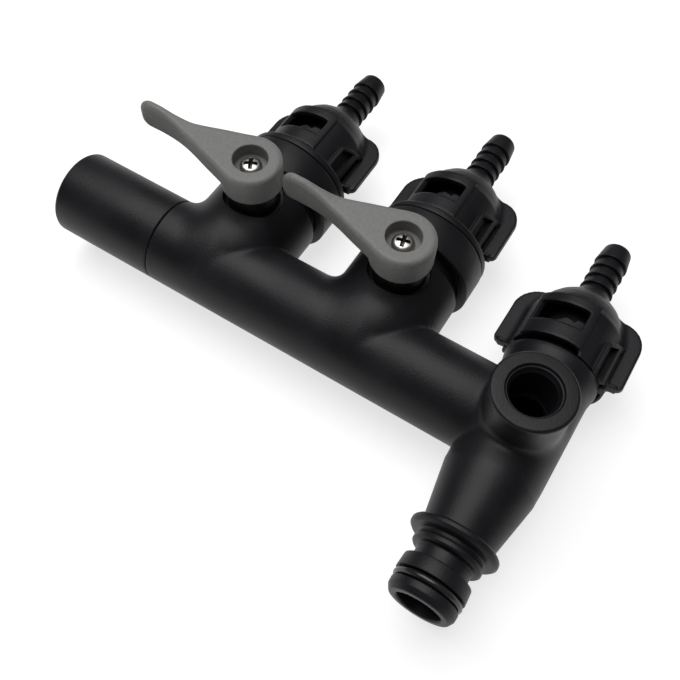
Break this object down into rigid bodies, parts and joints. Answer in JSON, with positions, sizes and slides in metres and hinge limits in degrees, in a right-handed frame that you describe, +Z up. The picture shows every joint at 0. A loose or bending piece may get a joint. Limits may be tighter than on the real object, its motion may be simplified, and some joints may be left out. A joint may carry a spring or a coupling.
{
  "type": "hose splitter",
  "caption": "Moulded sprayer manifold: quick-connect inlet, lever ball-valve outlets, straight outlet, gauge port and twist-lock hose-barb caps.",
  "frame": {"origin": "middle of the bounding box's underside, on the surface that the splitter lies on", "axes": "+X along the main pipe from its closed end to the straight outlet, +Y out of the outlets, +Z up out of the gauge port and the lever screws"},
  "size_m": [0.1978, 0.1684, 0.0584],
  "materials": {
    "black_plastic": "satin moulded glass-filled nylon",
    "grey_plastic": "satin moulded nylon",
    "stainless": "bright stainless screw",
    "rubber": "smooth, lightly greased",
    "ptfe": "waxy white",
    "ball_plastic": "polished acetal"
  },
  "bodies": {
    "manifold": {"manifold_body": "black_plastic", "end_cap": "black_plastic", "inlet_o_ring": "rubber", "valve_1_inner_seat": "ptfe", "valve_1_outer_seat": "ptfe", "valve_1_collar": "black_plastic", "valve_1_outlet_nose": "black_plastic", "valve_1_nose_o_ring": "rubber", "valve_2_inner_seat": "ptfe", "valve_2_outer_seat": "ptfe", "valve_2_collar": "black_plastic", "valve_2_outlet_nose": "black_plastic", "valve_2_nose_o_ring": "rubber"},
    "valve_1_rotor": {"valve_1_lever": "grey_plastic", "valve_1_lever_screw": "stainless", "valve_1_stem": "black_plastic", "valve_1_ball": "ball_plastic", "valve_1_stem_o_ring_lower": "rubber", "valve_1_stem_o_ring_upper": "rubber"},
    "valve_2_rotor": {"valve_2_lever": "grey_plastic", "valve_2_lever_screw": "stainless", "valve_2_stem": "black_plastic", "valve_2_ball": "ball_plastic", "valve_2_stem_o_ring_lower": "rubber", "valve_2_stem_o_ring_upper": "rubber"},
    "outlet_1_twist_cap": {"outlet_1_cap": "black_plastic", "outlet_1_gasket": "rubber"},
    "outlet_2_twist_cap": {"outlet_2_cap": "black_plastic", "outlet_2_gasket": "rubber"},
    "outlet_3_twist_cap": {"outlet_3_cap": "black_plastic", "outlet_3_gasket": "rubber"}
  },
  "joints": [
    {"name": "valve_1_turn", "type": "hinge", "parent": "manifold", "child": "valve_1_rotor", "pos_m": [-0.03757, 0.0018, 0.0208], "axis": [0, 0, -1], "range_deg": [0, 90]},
    {"name": "valve_2_turn", "type": "hinge", "parent": "manifold", "child": "valve_2_rotor", "pos_m": [0.01943, 0.0018, 0.0208], "axis": [0, 0, -1], "range_deg": [0, 90]},
    {"name": "outlet_1_unlock", "type": "hinge", "parent": "manifold", "child": "outlet_1_twist_cap", "pos_m": [-0.03757, -0.0199, 0.0208], "axis": [0, 1, 0], "range_deg": [0, 65]},
    {"name": "outlet_2_unlock", "type": "hinge", "parent": "manifold", "child": "outlet_2_twist_cap", "pos_m": [0.01943, -0.0199, 0.0208], "axis": [0, 1, 0], "range_deg": [0, 65]},
    {"name": "outlet_3_unlock", "type": "hinge", "parent": "manifold", "child": "outlet_3_twist_cap", "pos_m": [0.07643, -0.0199, 0.0208], "axis": [0, 1, 0], "range_deg": [0, 65]}
  ]
}
